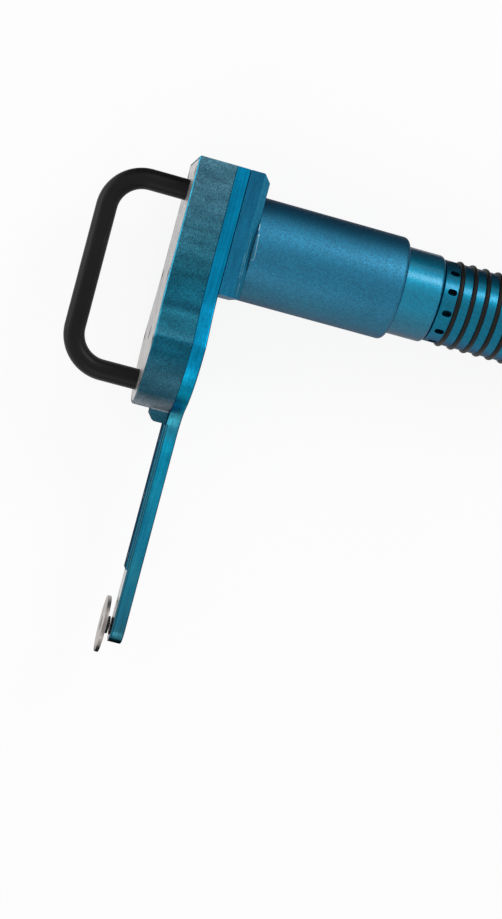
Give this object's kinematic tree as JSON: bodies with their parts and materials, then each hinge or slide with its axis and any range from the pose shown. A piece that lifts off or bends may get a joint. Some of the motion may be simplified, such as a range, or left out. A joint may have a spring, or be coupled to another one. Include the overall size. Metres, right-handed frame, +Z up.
{
  "type": "valve grinding machine",
  "caption": "Hand-held pneumatic valve grinder: round motor with twist throttle, gear head with bow handle, and a slim belt-driven arm with a tilting grinding disc.",
  "frame": {"origin": "on the motor axis, in the middle of the round barrel", "axes": "+X along the motor axis towards the air inlet, -Y along the arm towards the disc, +Z up when it lies on its side"},
  "size_m": [0.2564, 0.2361, 0.069],
  "materials": {
    "case_finish": "matte dark teal anodised, fine grain",
    "arm_finish": "glossy blue anodised",
    "flange_finish": "satin blue anodised, brushed",
    "barrel_finish": "bead-blasted blue anodised",
    "rear_finish": "satin cyan-blue anodised",
    "plate_finish": "light grey, fine satin",
    "cover_finish": "bright satin sheet",
    "arm_cover_finish": "dark blackened sheet",
    "handle_finish": "black satin coating",
    "screw_finish": "blackened steel",
    "ring_rubber": "black rubber, soft sheen",
    "belt_rubber": "black belt",
    "inlet_finish": "turned steel",
    "inner_steel": "ground steel",
    "bearing_steel": "polished bearing steel",
    "bush_bronze": "sintered bronze",
    "vane_composite": "phenolic composite",
    "silencer_felt": "grey felt",
    "hub_finish": "blackened, satin",
    "disc_finish": "light grey, finely ground"
  },
  "bodies": {
    "machine": {"gear_case": "case_finish", "arm_frame": "arm_finish", "motor_flange": "flange_finish", "motor_barrel": "barrel_finish", "rear_housing": "rear_finish", "front_plate": "plate_finish", "belt_cover": "cover_finish", "arm_cover": "arm_cover_finish", "bow_handle": "handle_finish", "front_plate_screws": "screw_finish", "handle_screws": "screw_finish", "cover_screws": "screw_finish", "flange_screws": "screw_finish", "barrel_screws": "screw_finish", "bearing_plug": "screw_finish", "drive_belt": "belt_rubber", "inlet_cap": "inlet_finish", "motor_liner": "inner_steel", "front_end_plate": "inner_steel", "rear_end_plate": "inner_steel", "ring_gear": "inner_steel", "idler_pin": "inner_steel", "output_bearing": "bearing_steel", "pinion_front_bearing": "bearing_steel", "lobe_front_bearing": "bearing_steel", "rotor_front_bearing": "bearing_steel", "rotor_rear_bearing": "bearing_steel", "lobe_rear_bush": "bush_bronze", "spindle_rear_bush": "bush_bronze", "inlet_strainer": "bush_bronze", "exhaust_silencer": "silencer_felt", "spindle_front_bush": "hub_finish"},
    "throttle": {"throttle_sleeve": "rear_finish", "grip_o_rings": "ring_rubber", "throttle_pin": "inner_steel", "throttle_valve": "bush_bronze"},
    "rotor": {"rotor": "inner_steel", "rotor_vanes": "vane_composite", "sun_gear": "inner_steel"},
    "carrier": {"planet_carrier": "inner_steel", "motor_pinion": "inner_steel"},
    "planet_1": {"planet_gear_1": "inner_steel"},
    "planet_2": {"planet_gear_2": "inner_steel"},
    "planet_3": {"planet_gear_3": "inner_steel"},
    "idler": {"idler_gear": "inner_steel"},
    "lobe": {"lobe_gear": "inner_steel", "lobe_shaft": "inner_steel", "belt_pulley": "inner_steel"},
    "spindle": {"spindle": "inner_steel", "spindle_pulley": "inner_steel"},
    "cross_pin": {"drive_pin": "inner_steel"},
    "disc": {"disc_hub": "hub_finish", "grinding_disc": "disc_finish"}
  },
  "joints": [
    {"name": "rotor_spin", "type": "hinge", "parent": "machine", "child": "rotor", "pos_m": [0, 0, 0], "axis": [1, 0, 0], "continuous": true},
    {"name": "carrier_spin", "type": "hinge", "parent": "machine", "child": "carrier", "pos_m": [0, 0, 0], "axis": [1, 0, 0], "continuous": true},
    {"name": "planet_1_spin", "type": "hinge", "parent": "carrier", "child": "planet_1", "pos_m": [0, 0.012, 0], "axis": [1, 0, 0], "continuous": true},
    {"name": "planet_2_spin", "type": "hinge", "parent": "carrier", "child": "planet_2", "pos_m": [0, -0.006, 0.01039], "axis": [1, 0, 0], "continuous": true},
    {"name": "planet_3_spin", "type": "hinge", "parent": "carrier", "child": "planet_3", "pos_m": [0, -0.006, -0.01039], "axis": [1, 0, 0], "continuous": true},
    {"name": "idler_spin", "type": "hinge", "parent": "machine", "child": "idler", "pos_m": [0, -0.018, 0], "axis": [1, 0, 0], "continuous": true},
    {"name": "lobe_spin", "type": "hinge", "parent": "machine", "child": "lobe", "pos_m": [0, -0.05, 0], "axis": [1, 0, 0], "continuous": true},
    {"name": "spindle_spin", "type": "hinge", "parent": "machine", "child": "spindle", "pos_m": [0, -0.1892, 0], "axis": [1, 0, 0], "continuous": true},
    {"name": "cross_pin_tilt", "type": "hinge", "parent": "spindle", "child": "cross_pin", "pos_m": [-0.0553, -0.1892, 0], "axis": [0, 0, 1], "range_deg": [-4, 4]},
    {"name": "disc_tilt", "type": "hinge", "parent": "cross_pin", "child": "disc", "pos_m": [-0.0553, -0.1892, 0], "axis": [0, 1, 0], "range_deg": [-4, 4]},
    {"name": "throttle_twist", "type": "hinge", "parent": "machine", "child": "throttle", "pos_m": [0.092, 0, 0], "axis": [1, 0, 0], "range_deg": [0, 60]}
  ],
  "couplings": [
    {"joint": "carrier_spin", "follows": "rotor_spin", "ratio": 0.25},
    {"joint": "planet_1_spin", "follows": "rotor_spin", "ratio": -0.75},
    {"joint": "planet_2_spin", "follows": "rotor_spin", "ratio": -0.75},
    {"joint": "planet_3_spin", "follows": "rotor_spin", "ratio": -0.75},
    {"joint": "idler_spin", "follows": "rotor_spin", "ratio": -0.3125},
    {"joint": "lobe_spin", "follows": "rotor_spin", "ratio": 0.10417},
    {"joint": "spindle_spin", "follows": "rotor_spin", "ratio": 0.10417}
  ]
}
